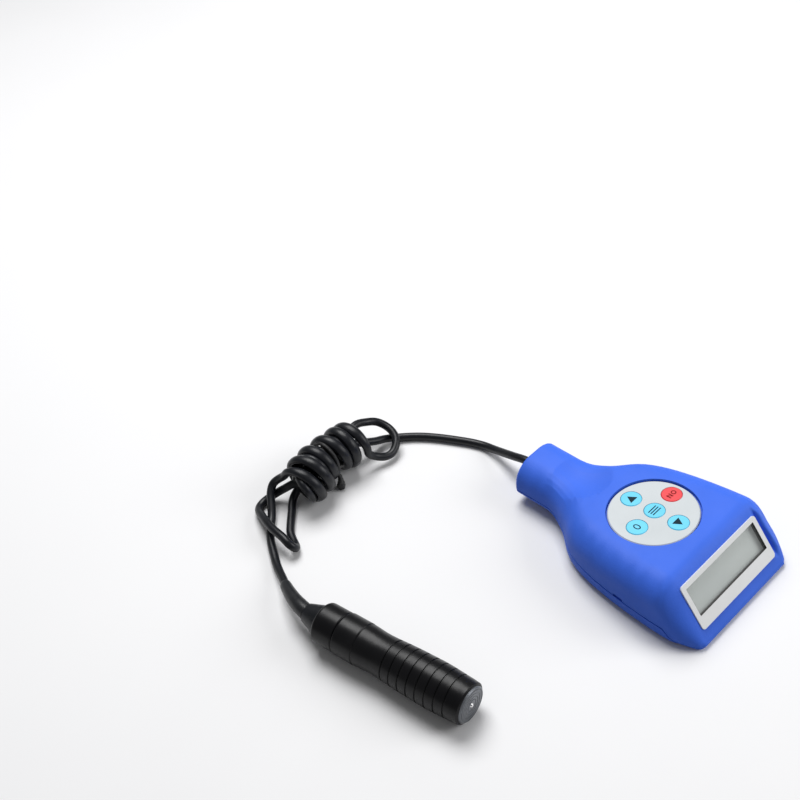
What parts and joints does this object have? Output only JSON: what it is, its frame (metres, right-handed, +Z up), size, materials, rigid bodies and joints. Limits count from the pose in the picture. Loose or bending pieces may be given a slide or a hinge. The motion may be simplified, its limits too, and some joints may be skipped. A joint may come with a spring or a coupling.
{
  "type": "coating thickness gauge",
  "caption": "Hand-held coating thickness gauge: tapered case with sloping display and round keypad, thin lead tied in a hank, and a grooved cylindrical probe with a sprung measuring head.",
  "frame": {"origin": "on the base, under the middle of the case", "axes": "+Z up; the display end looks towards -Y and the lead leaves the neck towards +Y; +X is to the right of someone who reads the display"},
  "size_m": [0.1522, 0.1835, 0.0247],
  "materials": {
    "blue_case": "fine matte texture",
    "white_bezel": "satin",
    "clear_window": "clear",
    "lcd_grey": "blank liquid crystal panel",
    "ribbon_film": "thin film",
    "keypad_grey": "satin",
    "key_red": "satin",
    "key_cyan": "satin",
    "board_green": "solder mask",
    "component_black": "moulded",
    "connector_cream": "moulded",
    "cell_jacket": "plain jacket",
    "spring_steel": "bright",
    "screw_steel": "bright",
    "cord_rubber": "slight sheen",
    "sleeve_rubber": "shrunk tube, slight sheen",
    "tie_black": "plain",
    "probe_black": "satin black",
    "face_metal": "turned, grey anodised",
    "pin_metal": "polished",
    "copper_wire": "enamelled winding",
    "stem_metal": "turned",
    "bush_brass": "turned"
  },
  "bodies": {
    "gauge_and_probe": {"top_housing": "blue_case", "bottom_housing": "blue_case", "display_bezel": "white_bezel", "display_window": "clear_window", "lcd_panel": "lcd_grey", "display_ribbon": "ribbon_film", "keypad_plate": "keypad_grey", "circuit_board": "board_green", "key_switches": "component_black", "processor": "component_black", "lead_connector": "connector_cream", "battery_cells": "cell_jacket", "contact_springs": "spring_steel", "contact_plates": "spring_steel", "case_screws": "screw_steel", "board_screws": "screw_steel", "cord_grommet": "cord_rubber", "cord_clamp": "connector_cream", "clamp_screws": "screw_steel", "inner_lead": "cord_rubber", "probe_barrel": "probe_black", "probe_collar": "probe_black", "probe_rear_cap": "probe_black", "probe_boot": "cord_rubber", "probe_lead": "cord_rubber", "guide_bush": "bush_brass", "head_spring": "spring_steel", "cord_sleeve": "sleeve_rubber", "cord_gauge_run": "cord_rubber", "cord_right_loop": "cord_rubber", "cord_hank": "cord_rubber", "cord_left_loop": "cord_rubber", "cord_probe_run": "cord_rubber", "cord_tie": "tie_black"},
    "cover": {"battery_cover": "blue_case"},
    "sprung_head": {"measuring_head": "face_metal", "measuring_pin": "pin_metal", "coil_bobbin": "component_black", "coil_winding": "copper_wire", "head_stem": "stem_metal", "retaining_ring": "spring_steel"},
    "key_power_cap": {"key_power": "key_red"},
    "key_zero_cap": {"key_zero": "key_cyan"},
    "key_up_cap": {"key_up": "key_cyan"},
    "key_down_cap": {"key_down": "key_cyan"},
    "key_menu_cap": {"key_menu": "key_cyan"}
  },
  "joints": [
    {"name": "battery_cover_hinge", "type": "hinge", "parent": "gauge_and_probe", "child": "cover", "pos_m": [0, -0.0328, 0], "axis": [-1, 0, 0], "range_deg": [0, 60]},
    {"name": "key_power_press", "type": "slide", "parent": "gauge_and_probe", "child": "key_power_cap", "axis": [0, -0.075, -0.9972], "range_m": [0, 0.00035], "stiffness_N_per_m": 450},
    {"name": "key_zero_press", "type": "slide", "parent": "gauge_and_probe", "child": "key_zero_cap", "axis": [0, -0.075, -0.9972], "range_m": [0, 0.00035], "stiffness_N_per_m": 450},
    {"name": "key_up_press", "type": "slide", "parent": "gauge_and_probe", "child": "key_up_cap", "axis": [0, -0.075, -0.9972], "range_m": [0, 0.00035], "stiffness_N_per_m": 450},
    {"name": "key_down_press", "type": "slide", "parent": "gauge_and_probe", "child": "key_down_cap", "axis": [0, -0.075, -0.9972], "range_m": [0, 0.00035], "stiffness_N_per_m": 450},
    {"name": "key_menu_press", "type": "slide", "parent": "gauge_and_probe", "child": "key_menu_cap", "axis": [0, -0.075, -0.9972], "range_m": [0, 0.00035], "stiffness_N_per_m": 450},
    {"name": "head_press", "type": "slide", "parent": "gauge_and_probe", "child": "sprung_head", "axis": [-0.1253, 0.9921, 0], "range_m": [0, 0.002], "stiffness_N_per_m": 400, "springref_m": -0.002, "deforming": ["head_spring"]}
  ]
}
